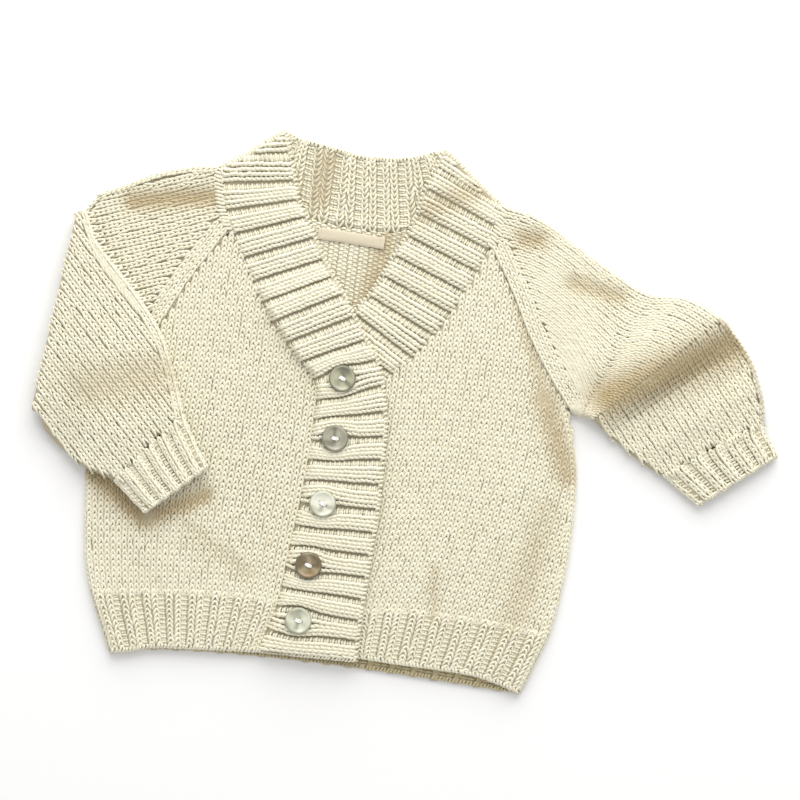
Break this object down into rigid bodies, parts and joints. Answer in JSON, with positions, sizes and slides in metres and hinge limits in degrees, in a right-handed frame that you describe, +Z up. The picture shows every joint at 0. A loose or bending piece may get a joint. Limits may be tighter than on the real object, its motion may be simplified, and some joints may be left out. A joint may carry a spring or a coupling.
{
  "type": "baby cardigan",
  "caption": "Hand-knitted cream baby cardigan with raglan sleeves, ribbed bands and shell buttons, laid flat with one sleeve folded over.",
  "frame": {"origin": "centre of the garment's bounding box, on the surface it lies on", "axes": "+X across the garment towards the wearer's left sleeve, +Y up the centre line to the neck, +Z up from the surface"},
  "size_m": [0.447, 0.322, 0.017],
  "materials": {
    "knit_cream": "matt cotton stocking stitch",
    "rib_cream": "matt cotton ribbing",
    "shell_grey": "polished grey-green shell",
    "shell_pale": "polished pale shell",
    "shell_brown": "polished brown shell",
    "label_tape": "woven tape, bare"
  },
  "bodies": {
    "root": {"back_panel": "knit_cream", "back_hem": "rib_cream", "right_front_panel": "knit_cream", "right_front_hem": "rib_cream", "left_front_panel": "knit_cream", "left_front_hem": "rib_cream", "right_sleeve": "knit_cream", "right_cuff": "rib_cream", "left_sleeve": "knit_cream", "left_cuff": "rib_cream", "right_front_band": "rib_cream", "left_front_band": "rib_cream", "back_neck_band": "rib_cream", "button_1": "shell_grey", "button_2": "shell_grey", "button_3": "shell_pale", "button_4": "shell_brown", "button_5": "shell_pale", "neck_label": "label_tape"}
  },
  "joints": []
}
